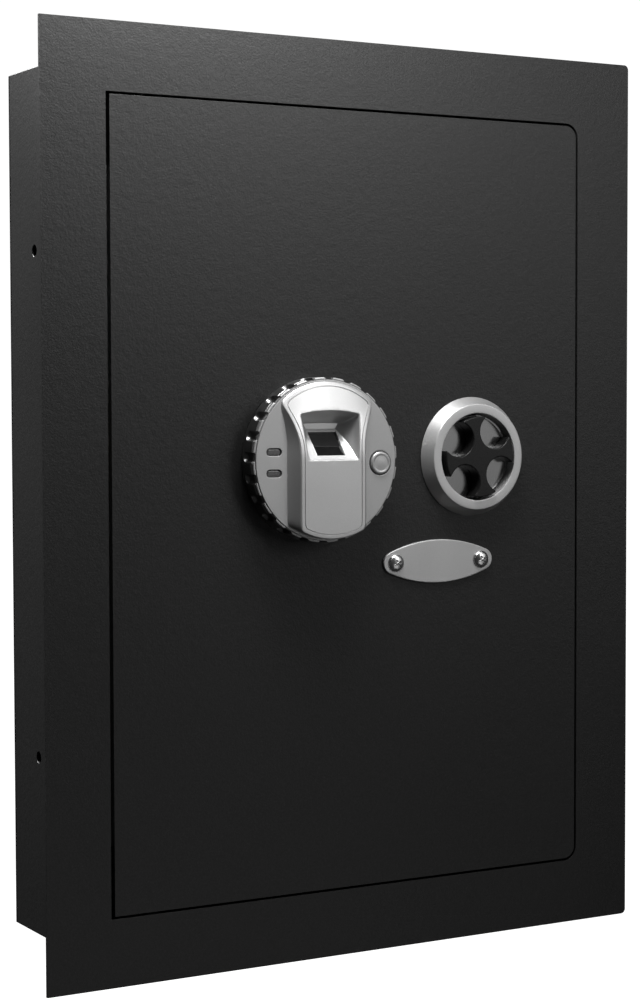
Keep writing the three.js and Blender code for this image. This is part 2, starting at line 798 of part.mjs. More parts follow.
function boltBar() {
  const arm = block([BAR.left, BAR.end], [ARM.front, ARM.back], [ARM.bottom, ARM.top]);
  const leg = block([BAR.legFront, BAR.end], [ARM.front, ARM.back], [-BAR.half, BAR.half]);
  const web = block([BAR.web, BAR.end], [ARM.front, BAR.webBack], [-BAR.half, BAR.half]);
  const pinX = KNOB_X - BOLT_TRAVEL / 2;
  const pinLow = LOCK_Z + BOLT_TRAVEL / 2;
  const pinHigh = LOCK_Z + CAM_PIN_ORBIT;
  const slack = CAM_PIN_RADIUS + BAR.pinSlack;
  const pierced = [ARM.front - PIERCE, ARM.back + PIERCE];
  const pinSlot = block([pinX - slack, pinX + slack], pierced, [pinLow - slack, pinHigh + slack]);
  // The plunger drops in over the last fifth of the knob's turn.
  const restX = PLUNGER_X - BOLT_TRAVEL;
  const side = PLUNGER_RADIUS + BAR.plungerSlack;
  const plungerNotch = block(
    [restX - side, restX + BOLT_TRAVEL / 5 + side],
    pierced,
    [ARM.top - BAR.notchDepth, ARM.top + PIERCE],
  );
  return piece("bolt_bar", cut(join(arm, leg, web), pinSlot, plungerNotch), ZINC);
}

const BOLT_CHAMFER = 1.5;

function lockingBolt(name, z) {
  const length = BOLT_TIP_X - BAR.end - GAP;
  const points = [
    [0, 0],
    [BOLT_RADIUS, 0],
    [BOLT_RADIUS, length - BOLT_CHAMFER],
    [BOLT_RADIUS - BOLT_CHAMFER, length],
    [0, length],
  ].map(([radius, along]) => new THREE.Vector2(radius, along));
  const bolt = new THREE.LatheGeometry(points, ROUND).rotateZ(-Math.PI / 2);
  return groupAt(BAR.end + GAP, BOLT_Y, z, piece(name, bolt, CHROME));
}

const SOLENOID = { half: 12, bottom: 74, top: 106, back: 16.4, clearance: 0.4 };
const PLUNGER = { tip: 61.6, collarLow: 65, collarHigh: 67, collarRadius: 6.5, top: 98 };
const SPRING_RADIUS = 6;

function solenoidBody() {
  const body = block(
    [PLUNGER_X - SOLENOID.half, PLUNGER_X + SOLENOID.half],
    [REAR + GAP, SOLENOID.back],
    [SOLENOID.bottom, SOLENOID.top],
  );
  const bore = barZ(
    PLUNGER_RADIUS + SOLENOID.clearance,
    [SOLENOID.bottom - PIERCE, SOLENOID.top + PIERCE],
    PLUNGER_X,
    PLUNGER_Y,
  );
  return piece("solenoid_body", cut(body, bore), ZINC);
}

function solenoidPlunger() {
  const rod = barZ(PLUNGER_RADIUS, [PLUNGER.tip, PLUNGER.top], PLUNGER_X, PLUNGER_Y);
  const collar = barZ(
    PLUNGER.collarRadius,
    [PLUNGER.collarLow, PLUNGER.collarHigh],
    PLUNGER_X,
    PLUNGER_Y,
  );
  return piece("solenoid_plunger", join(rod, collar), CHROME);
}

function plungerSpring() {
  const low = PLUNGER.collarHigh + GAP;
  const high = SOLENOID.bottom - GAP;
  const sleeve = cut(
    barZ(SPRING_RADIUS, [low, high], PLUNGER_X, PLUNGER_Y),
    barZ(PLUNGER_RADIUS + GAP, [low - PIERCE, high + PIERCE], PLUNGER_X, PLUNGER_Y),
  );
  return piece("plunger_spring", sleeve, ZINC);
}

// ---------------------------------------------------------------- nameplate and override lock

// Two shallow arcs, above and below, that run into a small round at each end.
function pointedOval() {
  const halfHeight = PLATE_HEIGHT / 2;
  const endX = PLATE_LENGTH / 2 - PLATE_END_RADIUS;
  const rise = halfHeight - PLATE_END_RADIUS;
  const drop = (endX * endX - rise * rise) / (2 * rise); // centre of the large arc below the middle
  const spread = Math.atan2(endX, drop);
  const radius = drop + halfHeight;
  const shape = new THREE.Shape();
  shape.absarc(0, -drop, radius, Math.PI / 2 - spread, Math.PI / 2 + spread, false);
  shape.absarc(-endX, 0, PLATE_END_RADIUS, Math.PI / 2 + spread, (3 * Math.PI) / 2 - spread, false);
  shape.absarc(0, drop, radius, -Math.PI / 2 - spread, -Math.PI / 2 + spread, false);
  shape.absarc(endX, 0, PLATE_END_RADIUS, -Math.PI / 2 + spread, Math.PI / 2 - spread, false);
  return shape;
}

const PLATE_FRONT = -3.6;

function nameplate() {
  const holes = [-1, 1].map((side) =>
    barY(PLATE_SCREW.hole, [PLATE_FRONT - PIERCE, FACE + PIERCE], side * PLATE_SCREW_REACH, 0, SMALL),
  );
  return piece("nameplate", cut(plate(pointedOval(), [PLATE_FRONT, FACE], 12), ...holes), SILVER);
}

// Radius and height of the points down a screw's domed head.
const DOME = [
  [4.8, 0],
  [4.2, 1.3],
  [2.4, 2],
  [0, 2.2],
];

function plateScrew(name, side) {
  const headBack = PLATE_FRONT - GAP;
  const dome = [
    [0, DOOR_BACK],
    [PLATE_SCREW.shank, DOOR_BACK],
    [PLATE_SCREW.shank, headBack],
    ...DOME.map(([radius, height]) => [radius, headBack - height]),
  ].map(([radius, y]) => new THREE.Vector2(radius, y));
  const screw = new THREE.LatheGeometry(dome.reverse(), SMALL);
  return groupAt(side * PLATE_SCREW_REACH, 0, 0, piece(name, screw, CHROME));
}

const CYLINDER = { front: FRONT + 0.1, outer: 9.2, bore: 6, plug: 5.7, back: 20 };
const COLLAR = { acrossFlats: 23, thick: 4 };
const KEYWAY = { half: 0.9, low: -4, high: 3.4, blindEnd: 4 };
const TAILPIECE = { half: 4, reach: 22, thick: 2, hub: 5 };

function keyCylinder() {
  const collar = plate(hexagon(COLLAR.acrossFlats), [REAR, REAR + COLLAR.thick]);
  const barrel = barY(CYLINDER.outer, [CYLINDER.front, CYLINDER.back]);
  const bore = barY(CYLINDER.bore, [CYLINDER.front - PIERCE, CYLINDER.back + PIERCE]);
  return piece("key_cylinder", cut(join(barrel, collar), bore), BRASS);
}

function keyPlug() {
  const plug = barY(CYLINDER.plug, [CYLINDER.front, CYLINDER.back]);
  const keyway = block(
    [-KEYWAY.half, KEYWAY.half],
    [CYLINDER.front - PIERCE, CYLINDER.back - KEYWAY.blindEnd],
    [KEYWAY.low, KEYWAY.high],
  );
  return piece("key_plug", cut(plug, keyway), BRASS);
}

function keyTailpiece() {
  const y = [CYLINDER.back + GAP, CYLINDER.back + GAP + TAILPIECE.thick];
  const arm = block([-TAILPIECE.half, TAILPIECE.half], y, [0, TAILPIECE.reach]);
  return piece("key_tailpiece", join(arm, barY(TAILPIECE.hub, y, 0, 0, SMALL)), ZINC);
}

function nameplateAndKey() {
  return groupAt(
    PLATE_X,
    0,
    PLATE_Z,
    nameplate(),
    plateScrew("nameplate_screw_left", -1),
    plateScrew("nameplate_screw_right", 1),
    keyCylinder(),
    keyPlug(),
    keyTailpiece(),
  );
}

// ---------------------------------------------------------------- electronics

const BOARD = { left: -48, right: 28, low: -95, high: -45, front: 14, back: 15.6, sink: 0.1 };
const BUZZER = { x: 17, z: -60, radius: 5, height: 6 };
const BOARD_PARTS = [
  { name: "cable connector", x: [-26, -14], z: [-58, -50], height: 4.6 },
  { name: "processor", x: [-8, 10], z: [-80, -62], height: 2 },
  { name: "battery connector", x: [14, 24], z: [-90, -84], height: 3 },
];

function controlBoard() {
  const sheet = block([BOARD.left, BOARD.right], [BOARD.front, BOARD.back], [BOARD.low, BOARD.high]);
  const foot = BOARD.back - BOARD.sink;
  const parts = BOARD_PARTS.map(({ x, z, height }) => block(x, [foot, BOARD.back + height], z));
  const buzzer = barY(BUZZER.radius, [foot, BOARD.back + BUZZER.height], BUZZER.x, BUZZER.z);
  return piece("control_board", join(sheet, ...parts, buzzer), BOARD_GREEN);
}

const CABLE = { radius: 2, steps: 24, sides: 4 }; // sides: in each half of the section

function scannerCable() {
  const route = new THREE.CatmullRomCurve3([
    new THREE.Vector3(SCANNER_X, 1, LOCK_Z),
    new THREE.Vector3(SCANNER_X, 10, LOCK_Z),
    new THREE.Vector3(SCANNER_X + 0.4, 17, LOCK_Z - 7),
    new THREE.Vector3(SCANNER_X + 2, 19, LOCK_Z - 26),
    new THREE.Vector3(-22.5, 18.5, -22),
    new THREE.Vector3(-20, 18, BOARD.high - 4.6),
  ]);
  const section = new THREE.Shape().absarc(0, 0, CABLE.radius, 0, 2 * Math.PI, false);
  return piece(
    "scanner_cable",
    new THREE.ExtrudeGeometry(section, {
      steps: CABLE.steps,
      extrudePath: route,
      curveSegments: CABLE.sides,
    }),
    BLACK_PLASTIC,
  );
}

const BOX = { front: 4, back: 22, wall: 1.5, halfWidth: 32, halfHeight: 30 };
const AA_CELL = { radius: 7.25, length: 49.5, nub: 2.75, nubHeight: 1.3, pitch: 15 };

function batteryBox() {
  const outside = block([-BOX.halfWidth, BOX.halfWidth], [BOX.front, BOX.back], [
    -BOX.halfHeight,
    BOX.halfHeight,
  ]);
  const inside = block(
    [-BOX.halfWidth + BOX.wall, BOX.halfWidth - BOX.wall],
    [BOX.front + BOX.wall, BOX.back + PIERCE],
    [-BOX.halfHeight + BOX.wall, BOX.halfHeight - BOX.wall],
  );
  return piece("battery_box", cut(outside, inside), BLACK_PLASTIC);
}

function batteryCell(index) {
  const half = AA_CELL.length / 2;
  const profile = [
    [0, -half],
    [AA_CELL.radius, -half],
    [AA_CELL.radius, half],
    [AA_CELL.nub, half],
    [AA_CELL.nub, half + AA_CELL.nubHeight],
    [0, half + AA_CELL.nubHeight],
  ].map(([radius, along]) => new THREE.Vector2(radius, along));
  const turn = index % 2 ? -Math.PI / 2 : Math.PI / 2;
  const cell = new THREE.LatheGeometry(profile, SMALL).rotateX(turn);
  const mesh = piece("battery_cell_" + (index + 1), cell, CELL);
  mesh.position.set((index - 1.5) * AA_CELL.pitch, BOX.front + BOX.wall + AA_CELL.radius + GAP, 0);
  return mesh;
}

function batteryBoxWithCells() {
  return groupAt(HATCH.x, 0, 0, batteryBox(), ...[0, 1, 2, 3].map(batteryCell));
}

const LID = { lap: 3, ribHalf: 10, ribLow: 18, ribPitch: 3, ribWide: 1.2, ribProud: 0.7 };

function batteryCover() {
  const back = COVER_BACK + GAP;
  const lid = block(
    [HATCH.x - HATCH.halfWidth - LID.lap, HATCH.x + HATCH.halfWidth + LID.lap],
    [back, back + SHEET],
    [-HATCH.halfHeight - LID.lap, HATCH.halfHeight + LID.lap],
  );
  const gripRibs = [0, 1, 2].map((k) => {
    const low = LID.ribLow + LID.ribPitch * k;
    return block(
      [HATCH.x - LID.ribHalf, HATCH.x + LID.ribHalf],
      [back + SHEET / 2, back + SHEET + LID.ribProud],
      [low, low + LID.ribWide],
    );
  });
  return piece("battery_cover", join(lid, ...gripRibs), BLACK_PLASTIC);
}

function resetButton() {
  return piece(
    "reset_button",
    barY(
      RESET.radius,
      [BOARD.back + RESET.offBoard, COVER_BACK + RESET.proud],
      RESET.x,
      RESET.z,
    ),
    BLACK_PLASTIC,
  );
}

// ---------------------------------------------------------------- the safe

const safe = new THREE.Group();
safe.add(
  wallFlange(),
  bodyShell(),
  backPanel(),
  ...hingeSockets(),
  ...doorStops(),
  ...shelvesAndRails(),
  doorPanel(),
  deadBar(),
  ...hingeHalves(),
  boltGuide(),
  mechanismCover(),
  ...coverScrews(),
  scanner(),
  knob(),
  boltBar(),
  lockingBolt("locking_bolt_upper", BOLT_HEIGHT),
  lockingBolt("locking_bolt_lower", -BOLT_HEIGHT),
  solenoidBody(),
  solenoidPlunger(),
  plungerSpring(),
  nameplateAndKey(),
  controlBoard(),
  scannerCable(),
  batteryBoxWithCells(),
  batteryCover(),
  resetButton(),
);

export default safe;
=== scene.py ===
"""Looks of the wall safe: finishes, fine shapes, floor, lights and camera round the CAD frame.

The frame is the CAD's: +Z up, +X to the right of a person facing the door, +Y into the wall, origin
at the centre of the cut-out in the wall's face. Fine shapes are written in millimetres, all else in
metres.
"""

import json
import math

import bmesh
import bpy
from mathutils import Matrix, Vector


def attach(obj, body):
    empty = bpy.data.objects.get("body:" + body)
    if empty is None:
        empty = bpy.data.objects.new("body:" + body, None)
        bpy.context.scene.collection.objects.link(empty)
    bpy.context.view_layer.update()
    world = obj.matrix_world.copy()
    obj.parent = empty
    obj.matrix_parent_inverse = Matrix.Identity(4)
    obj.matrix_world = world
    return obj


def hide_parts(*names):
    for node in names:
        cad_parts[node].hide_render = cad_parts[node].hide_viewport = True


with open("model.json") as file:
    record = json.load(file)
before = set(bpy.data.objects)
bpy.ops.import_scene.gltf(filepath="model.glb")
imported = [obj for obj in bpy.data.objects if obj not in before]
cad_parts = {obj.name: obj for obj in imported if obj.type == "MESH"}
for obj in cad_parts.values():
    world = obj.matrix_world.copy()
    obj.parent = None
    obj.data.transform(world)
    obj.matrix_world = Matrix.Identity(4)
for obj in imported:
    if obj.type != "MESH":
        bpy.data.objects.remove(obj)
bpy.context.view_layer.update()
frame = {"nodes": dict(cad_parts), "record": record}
NODES = frame["nodes"]
MM = 0.001


# ---------------------------------------------------------------- node material helpers


class Nodes:
    """A short way to write a material's node tree."""

    def __init__(self, name):
        self.material = bpy.data.materials.new(name)
        self.material.use_nodes = True
        self.tree = self.material.node_tree
        self.tree.nodes.clear()
        self.shader = self.add("ShaderNodeBsdfPrincipled")
        output = self.add("ShaderNodeOutputMaterial")
        self.link(self.shader.outputs["BSDF"], output.inputs["Surface"])
        self.place = self.add("ShaderNodeTexCoord").outputs["Object"]

    def add(self, kind, **settings):
        node = self.tree.nodes.new(kind)
        for key, value in settings.items():
            setattr(node, key, value)
        return node

    def link(self, source, target):
        self.tree.links.new(source, target)

    def set(self, **values):
        """Uniform values, on the shader's own sockets."""
        for key, value in values.items():
            self.shader.inputs[key.replace("_", " ")].default_value = value

    def stretched(self, scale):
        mapping = self.add("ShaderNodeMapping")
        mapping.inputs["Scale"].default_value = scale
        self.link(self.place, mapping.inputs["Vector"])
        return mapping.outputs["Vector"]

    def noise(self, scale, detail=2.0, roughness=0.5, vector=None):
        node = self.add("ShaderNodeTexNoise")
        node.inputs["Scale"].default_value = scale
        node.inputs["Detail"].default_value = detail
        node.inputs["Roughness"].default_value = roughness
        self.link(vector or self.place, node.inputs["Vector"])
        return node.outputs["Fac"]

    def cells(self, scale, vector=None, feature="F1"):
        node = self.add("ShaderNodeTexVoronoi", feature=feature)
        node.inputs["Scale"].default_value = scale
        self.link(vector or self.place, node.inputs["Vector"])
        return node.outputs["Distance"]

    def remap(self, value, low, high, out_low, out_high):
        node = self.add("ShaderNodeMapRange")
        for key, number in zip(
            ("From Min", "From Max", "To Min", "To Max"), (low, high, out_low, out_high)
        ):
            node.inputs[key].default_value = number
        self.link(value, node.inputs["Value"])
        return node.outputs["Result"]

    def ramp(self, value, stops):
        node = self.add("ShaderNodeValToRGB")
        elements = node.color_ramp.elements
        while len(elements) < len(stops):
            elements.new(0.5)
        for element, (position, colour) in zip(elements, stops):
            element.position = position
            element.color = (*colour, 1.0)
        self.link(value, node.inputs["Fac"])
        return node.outputs["Color"]

    def math(self, operation, a, b):
        node = self.add("ShaderNodeMath", operation=operation)
        for socket, value in zip(node.inputs, (a, b)):
            if isinstance(value, (int, float)):
                socket.default_value = value
            else:
                self.link(value, socket)
        return node.outputs["Value"]

    def bump(self, height, distance, strength, after=None):
        node = self.add("ShaderNodeBump")
        node.inputs["Strength"].default_value = strength
        node.inputs["Distance"].default_value = distance
        self.link(height, node.inputs["Height"])
        if after:
            self.link(after, node.inputs["Normal"])
        return node.outputs["Normal"]

    def colour(self, socket):
        self.link(socket, self.shader.inputs["Base Color"])

    def roughness(self, socket):
        self.link(socket, self.shader.inputs["Roughness"])

    def normal(self, socket):
        self.link(socket, self.shader.inputs["Normal"])


def grey(value):
    return (value, value, value)


# ---------------------------------------------------------------- materials


def powder_coat():
    """Black powder coat: a pebbled skin about a millimetre across, with a few brighter crests."""
    n = Nodes("powder_coat_black")
    pebbles = n.noise(900.0, 3.0, 0.6)
    swell = n.noise(260.0, 2.0, 0.5)
    drift = n.noise(5.0, 2.0, 0.5)
    crests = n.ramp(pebbles, [(0.35, grey(0.007)), (0.62, grey(0.0115)), (0.8, grey(0.019))])
    n.colour(crests)
    n.roughness(n.remap(drift, 0.3, 0.7, 0.36, 0.42))
    n.normal(n.bump(pebbles, 0.00022, 0.55, after=n.bump(swell, 0.0004, 0.3)))
    n.set(Specular_IOR_Level=0.28)
    return n.material


def zinc_plate():
    """Zinc plated steel: rolling streaks, warm and blue passivation and a fine crystal grain."""
    n = Nodes("zinc_plate")
    streaks = n.noise(60.0, 4.0, 0.6, n.stretched((1.0, 1.0, 0.06)))
    cloud = n.noise(18.0, 3.0, 0.55)
    tints = [(0.3, (0.42, 0.44, 0.47)), (0.5, grey(0.5)), (0.72, (0.54, 0.52, 0.46))]
    n.colour(n.ramp(cloud, tints))
    n.roughness(n.remap(streaks, 0.25, 0.75, 0.28, 0.46))
    n.normal(n.bump(n.noise(2200.0, 2.0), 0.00005, 0.3))
    n.set(Metallic=1.0)
    return n.material


def chrome(name, shade, rough=(0.05, 0.12)):
    """Bright plate with faint wiping marks."""
    n = Nodes(name)
    marks = n.noise(240.0, 4.0, 0.65, n.stretched((1.0, 1.0, 0.3)))
    n.colour(n.ramp(marks, [(0.3, grey(shade * 0.9)), (0.7, grey(shade))]))
    n.roughness(n.remap(marks, 0.3, 0.75, *rough))
    n.set(Metallic=1.0)
    return n.material


def metallic_paint(name, shade, rough):
    """Satin silver lacquer: fine flakes that vary in brightness and tilt."""
    n = Nodes(name)
    flakes = n.cells(5200.0)
    cloud = n.noise(30.0, 3.0)
    mix = n.math("ADD", n.math("MULTIPLY", flakes, 0.65), n.math("MULTIPLY", cloud, 0.35))
    tints = [(0.2, grey(shade * 0.9)), (0.45, grey(shade)), (0.75, grey(shade * 1.1))]
    n.colour(n.ramp(mix, tints))
    n.roughness(n.remap(cloud, 0.3, 0.7, rough - 0.03, rough + 0.03))
    n.normal(n.bump(n.noise(3600.0, 1.0), 0.00003, 0.35))
    n.set(Metallic=0.75, Specular_IOR_Level=0.5)
    return n.material


def moulded_black(name, shade, rough, grain, sheen=0.5):
    """Moulded plastic with a fine spark-eroded grain."""
    n = Nodes(name)
    spark = n.noise(grain, 3.0, 0.7)
    drift = n.noise(14.0, 2.0)
    n.colour(n.ramp(drift, [(0.3, grey(shade * 0.85)), (0.7, grey(shade * 1.15))]))
    n.roughness(n.remap(spark, 0.3, 0.7, rough - 0.06, rough + 0.06))
    n.normal(n.bump(spark, 0.00006, 0.4))
    n.set(Specular_IOR_Level=sheen)
    return n.material


def sensor_glass():
    """Dark polished prism glass with a trace of finger grease."""
    n = Nodes("sensor_glass")
    smear = n.noise(420.0, 4.0, 0.7, n.stretched((1.0, 0.5, 0.5)))
    n.colour(n.ramp(smear, [(0.3, grey(0.004)), (0.75, grey(0.009))]))
    n.roughness(n.remap(smear, 0.35, 0.8, 0.03, 0.16))
    n.set(IOR=1.52, Coat_Weight=0.6, Coat_Roughness=0.03)
    return n.material


def machined_brass():
    n = Nodes("machined_brass")
    rings = n.noise(900.0, 3.0, 0.6, n.stretched((1.0, 0.05, 1.0)))
    n.colour(n.ramp(rings, [(0.3, (0.42, 0.29, 0.11)), (0.7, (0.56, 0.41, 0.18))]))
    n.roughness(n.remap(rings, 0.3, 0.7, 0.22, 0.38))
    n.set(Metallic=1.0)
    return n.material


def circuit_board():
    """Green lacquer over copper tracks."""
    n = Nodes("circuit_board")
    tracks = n.cells(420.0, n.stretched((1.0, 1.0, 0.35)), "DISTANCE_TO_EDGE")
    tints = [(0.0, (0.05, 0.2, 0.07)), (0.08, (0.012, 0.075, 0.025)), (1.0, (0.01, 0.06, 0.02))]
    n.colour(n.ramp(tracks, tints))
    n.roughness(n.remap(n.noise(300.0), 0.3, 0.7, 0.25, 0.4))
    n.normal(n.bump(tracks, 0.00006, 0.4))
    return n.material


def battery_wrap():
    """Two-tone shrink sleeve: a dark body and a copper end, split by height."""
    n = Nodes("battery_wrap")
    split = n.add("ShaderNodeSeparateXYZ")
    n.link(n.place, split.inputs["Vector"])
    n.colour(
        n.ramp(
            n.remap(split.outputs["Z"], -0.025, 0.025, 0.0, 1.0),
            [(0.0, (0.01, 0.01, 0.011)), (0.66, (0.012, 0.012, 0.013)), (0.7, (0.36, 0.17, 0.05))],
        )
    )
    n.roughness(n.remap(n.noise(700.0, 3.0), 0.3, 0.7, 0.2, 0.32))
    n.set(Metallic=0.4, Coat_Weight=0.4)
    return n.material


POWDER = powder_coat()
ZINC = zinc_plate()
CHROME = chrome("bright_chrome", 0.78)
DARK_CHROME = chrome("dark_chrome", 0.26, (0.3, 0.42))
SCREW_STEEL = chrome("screw_steel", 0.6, (0.22, 0.32))
SCANNER_SILVER = metallic_paint("scanner_silver", 0.365, 0.42)
BRIDGE_SILVER = metallic_paint("bridge_silver", 0.48, 0.4)
SATIN_SILVER = metallic_paint("satin_silver", 0.45, 0.44)
CUP_POLISH = chrome("cup_polish", 0.2, (0.16, 0.24))
KNOB_BLACK = moulded_black("knob_black", 0.006, 0.3, 1500.0, 0.22)
COVER_BLACK = moulded_black("cover_black", 0.02, 0.5, 1100.0)
LENS = moulded_black("led_lens", 0.07, 0.25, 900.0)
GLASS = sensor_glass()
BRASS = machined_brass()
BOARD = circuit_board()
CELL = battery_wrap()
SHEATH = moulded_black("cable_sheath", 0.018, 0.45, 800.0)
# Painted shade: a near-black finish for the bars that stop the door, standing in for the shade in
# the gap round the door.
STOP_PAINTED_SHADE = moulded_black("stop_painted_shade", 0.002, 0.9, 700.0, 0.02)

BY_SLOT = {
    "powder_black": POWDER,
    "zinc_steel": ZINC,
    "chrome": CHROME,
    "silver_paint": SCANNER_SILVER,
    "satin_silver": SATIN_SILVER,
    "dark_chrome": DARK_CHROME,
    "black_plastic": COVER_BLACK,
    "knob_black": KNOB_BLACK,
    "sensor_glass": GLASS,
    "led_lens": LENS,
    "brass": BRASS,
    "circuit_board": BOARD,
    "cable_sheath": SHEATH,
    "battery_cell": CELL,
}
SLOT_OF = {part["node"]: part["material_slot"] for part in frame["record"]["subparts"]}
BODIES = frame["record"]["behaviour"]["bodies"]
BODY_OF = {node: body for body, nodes in BODIES.items() for node in nodes}


# ---------------------------------------------------------------- CAD nodes that stay


EDGE_ROUND = 0.0004
WELD_WITHIN = 0.00001
FLAT_WITHIN = math.radians(0.5)
EDGE_FROM = math.radians(32)


def paint(o, material):
    o.data.materials.clear()
    o.data.materials.append(material)


def smooth(o):
    for polygon in o.data.polygons:
        polygon.use_smooth = True


def refine(node):
    """Gives a CAD node its finish and a small round on its sharp edges."""
    o = NODES[node]
    slot = SLOT_OF[node]
    paint(o, BY_SLOT[slot])
    if "custom_normal" in o.data.attributes:
        o.data.attributes.remove(o.data.attributes["custom_normal"])
    smooth(o)
    weld = o.modifiers.new("weld", "WELD")
    weld.merge_threshold = WELD_WITHIN
    flat = o.modifiers.new("flat", "DECIMATE")
    flat.decimate_type = "DISSOLVE"
    flat.angle_limit = FLAT_WITHIN
    edges = o.modifiers.new("edges", "BEVEL")
    edges.width = EDGE_ROUND
    edges.segments = 2
    edges.limit_method = "ANGLE"
    edges.angle_limit = EDGE_FROM
    edges.harden_normals = True


for name in NODES:
    refine(name)

# The bars that stop the door are seen only through the gap round it, which the photo shows black.
# The near black put on them here is painted shade for that gap.
for name in ("door_stop_latch", "door_stop_upper", "door_stop_lower"):
    NODES[name].data.materials[0] = STOP_PAINTED_SHADE


# ---------------------------------------------------------------- mesh helpers, in millimetres


def mesh_object(name, points, faces):
    mesh = bpy.data.meshes.new(name)
    mesh.from_pydata([Vector(point) * MM for point in points], [], faces)
    turned_out = bmesh.new()
    turned_out.from_mesh(mesh)
    bmesh.ops.recalc_face_normals(turned_out, faces=turned_out.faces)
    turned_out.to_mesh(mesh)
    turned_out.free()
    o = bpy.data.objects.new(name, mesh)
    bpy.context.scene.collection.objects.link(o)
    return o


def loft(name, rings, place=(0, 0, 0), closed=False):
    """A solid through rings of equal length, capped at both ends or closed on itself."""
    count = len(rings[0])
    points = [Vector(point) + Vector(place) for ring in rings for point in ring]
    spans = len(rings) if closed else len(rings) - 1
    faces = []
    for k in range(spans):
        a = k * count
        b = (k + 1) % len(rings) * count
        faces += [(a + i, a + (i + 1) % count, b + (i + 1) % count, b + i) for i in range(count)]
    if not closed:
        faces += [tuple(range(count)), tuple(range(len(points) - count, len(points)))]
    return mesh_object(name, points, faces)


def circle(radius, y, sides):
    turns = [2 * math.pi * k / sides for k in range(sides)]
    return [(radius * math.cos(t), y, radius * math.sin(t)) for t in turns]


def turned(name, profile, place, sides, closed=False):
    """A piece turned about an axis along Y, from a profile of radius and Y."""
    return loft(name, [circle(r, y, sides) for r, y in profile], place, closed)


CORNER_STEPS = 3
LONGEST_REACH = 0.45  # of the way to the next corner


def eased(outline, reach):
    """A closed outline with each corner replaced by a curve that starts `reach` before it."""
    out = []
    for i, point in enumerate(outline):
        corner = Vector(point)
        before = Vector(outline[i - 1]) - corner
        after = Vector(outline[(i + 1) % len(outline)]) - corner
        start = corner + before.normalized() * min(reach, before.length * LONGEST_REACH)
        end = corner + after.normalized() * min(reach, after.length * LONGEST_REACH)
        for k in range(CORNER_STEPS + 1):
            t = k / CORNER_STEPS
            out.append(tuple(start * (1 - t) ** 2 + corner * 2 * t * (1 - t) + end * t * t))
    return out


def inset(outline, distance):
    """A closed outline in X and Z, counter-clockwise, moved inwards by a distance."""
    out = []
    for i, (x, z) in enumerate(outline):
        back = Vector(outline[i - 1])
        ahead = Vector(outline[(i + 1) % len(outline)])
        along = (ahead - back).normalized()
        out.append((x - along.y * distance, z + along.x * distance))
    return out


def plate_rings(outline, levels):
    """Rings of a flat-sided piece: levels lists how far each is inset, and its Y."""
    return [[(x, y, z) for x, z in inset(outline, distance)] for distance, y in levels]


def box_mesh(name, low, high):
    (x0, y0, z0), (x1, y1, z1) = low, high
    rings = [[(x0, y, z0), (x1, y, z0), (x1, y, z1), (x0, y, z1)] for y in (y0, y1)]
    return loft(name, rings)


def combine(piece, operation, *tools):
    """Cuts tools out of a piece, or joins them to it, and keeps the result as its own mesh."""
    for tool in tools:
        step = piece.modifiers.new("combine", "BOOLEAN")
        step.operation = operation
        step.solver = "EXACT"
        step.object = tool
    graph = bpy.context.evaluated_depsgraph_get()
    made = bpy.data.meshes.new_from_object(piece.evaluated_get(graph))
    piece.modifiers.clear()
    piece.data = made
    for tool in tools:
        bpy.data.objects.remove(tool)


def adopt(piece, node, sharp):
    """Puts a piece on its node's body in place of the node, which it hides, and gives it its finish
    unless the piece has its own.

    Edges that turn by more than `sharp` degrees stay sharp.
    """
    slot = SLOT_OF[node]
    if not piece.data.materials or piece.data.materials[0] is None:
        paint(piece, BY_SLOT[slot])
    smooth(piece)
    piece.data.set_sharp_from_angle(angle=math.radians(sharp))
    even = piece.modifiers.new("even", "WEIGHTED_NORMAL")
    even.keep_sharp = True
    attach(piece, BODY_OF[node])
    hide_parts(node)


# ---------------------------------------------------------------- fingerprint scanner
# Millimetres from the scanner's own axis, with Y as in the frame.

SCANNER_AT = (-28.8, 0.0, 25.0)
SCANNER_RADIUS = 47.4
BASE_REAR = -2.3
BASE_FRONT = -13.7
FACE_FRONT = -17.0
STEM_RADIUS = 9.2
STEM_END = 9.0
POCKETS = 24
POCKET_PHASE = math.radians(12.4)
POCKET_HALF = 2.75
POCKET_DEPTH = 2.3
POCKET_END = -7.8
RIM_SIDES = POCKETS * 22
RIM_TURNS = [2 * math.pi * k / RIM_SIDES for k in range(RIM_SIDES)]


def on_scanner(x, z):
    return (SCANNER_AT[0] + x, 0, SCANNER_AT[2] + z)


def pocket_depth(turn, y):
    """Depth of the grip pockets in the scanner's side: round-ended slots that open to the front."""
    pitch = 2 * math.pi / POCKETS
    across = ((turn - POCKET_PHASE + pitch / 2) % pitch - pitch / 2) * SCANNER_RADIUS
    reach = math.hypot(across, max(0.0, y - POCKET_END)) / POCKET_HALF
    return POCKET_DEPTH * math.sqrt(max(0.0, 1 - reach * reach))


def rim_ring(y, radius_at):
    return [(radius_at(t) * math.cos(t), y, radius_at(t) * math.sin(t)) for t in RIM_TURNS]


def pocketed_ring(y, step):
    return rim_ring(y, lambda t: SCANNER_RADIUS - step - pocket_depth(t, y))


SIDE_START = -4.2
SIDE_SPACING = 0.45


def scanner_base():
    rings = [circle(STEM_RADIUS, y, RIM_SIDES) for y in (STEM_END, BASE_REAR)]
    rear_edge = [(BASE_REAR, 0.5), (BASE_REAR - 0.15, 0.15), (BASE_REAR - 0.5, 0.0)]
    rings += [pocketed_ring(y, step) for y, step in rear_edge]
    y = SIDE_START
    while y > BASE_FRONT + 0.6:
        rings.append(pocketed_ring(y, 0.0))
        y -= SIDE_SPACING
    rings += [pocketed_ring(BASE_FRONT + 0.45, 0.0), pocketed_ring(BASE_FRONT, 0.45)]
    base = loft("scanner_base_fine", rings, SCANNER_AT)
    combine(base, "DIFFERENCE", recess_well())
    adopt(base, "scanner_base", 40)


RIM_BAND = 1.15  # width of the raised rim that the pockets cut into strips
NOTCH_DEEPER = 1.2  # the strips are cut this much deeper than the pockets


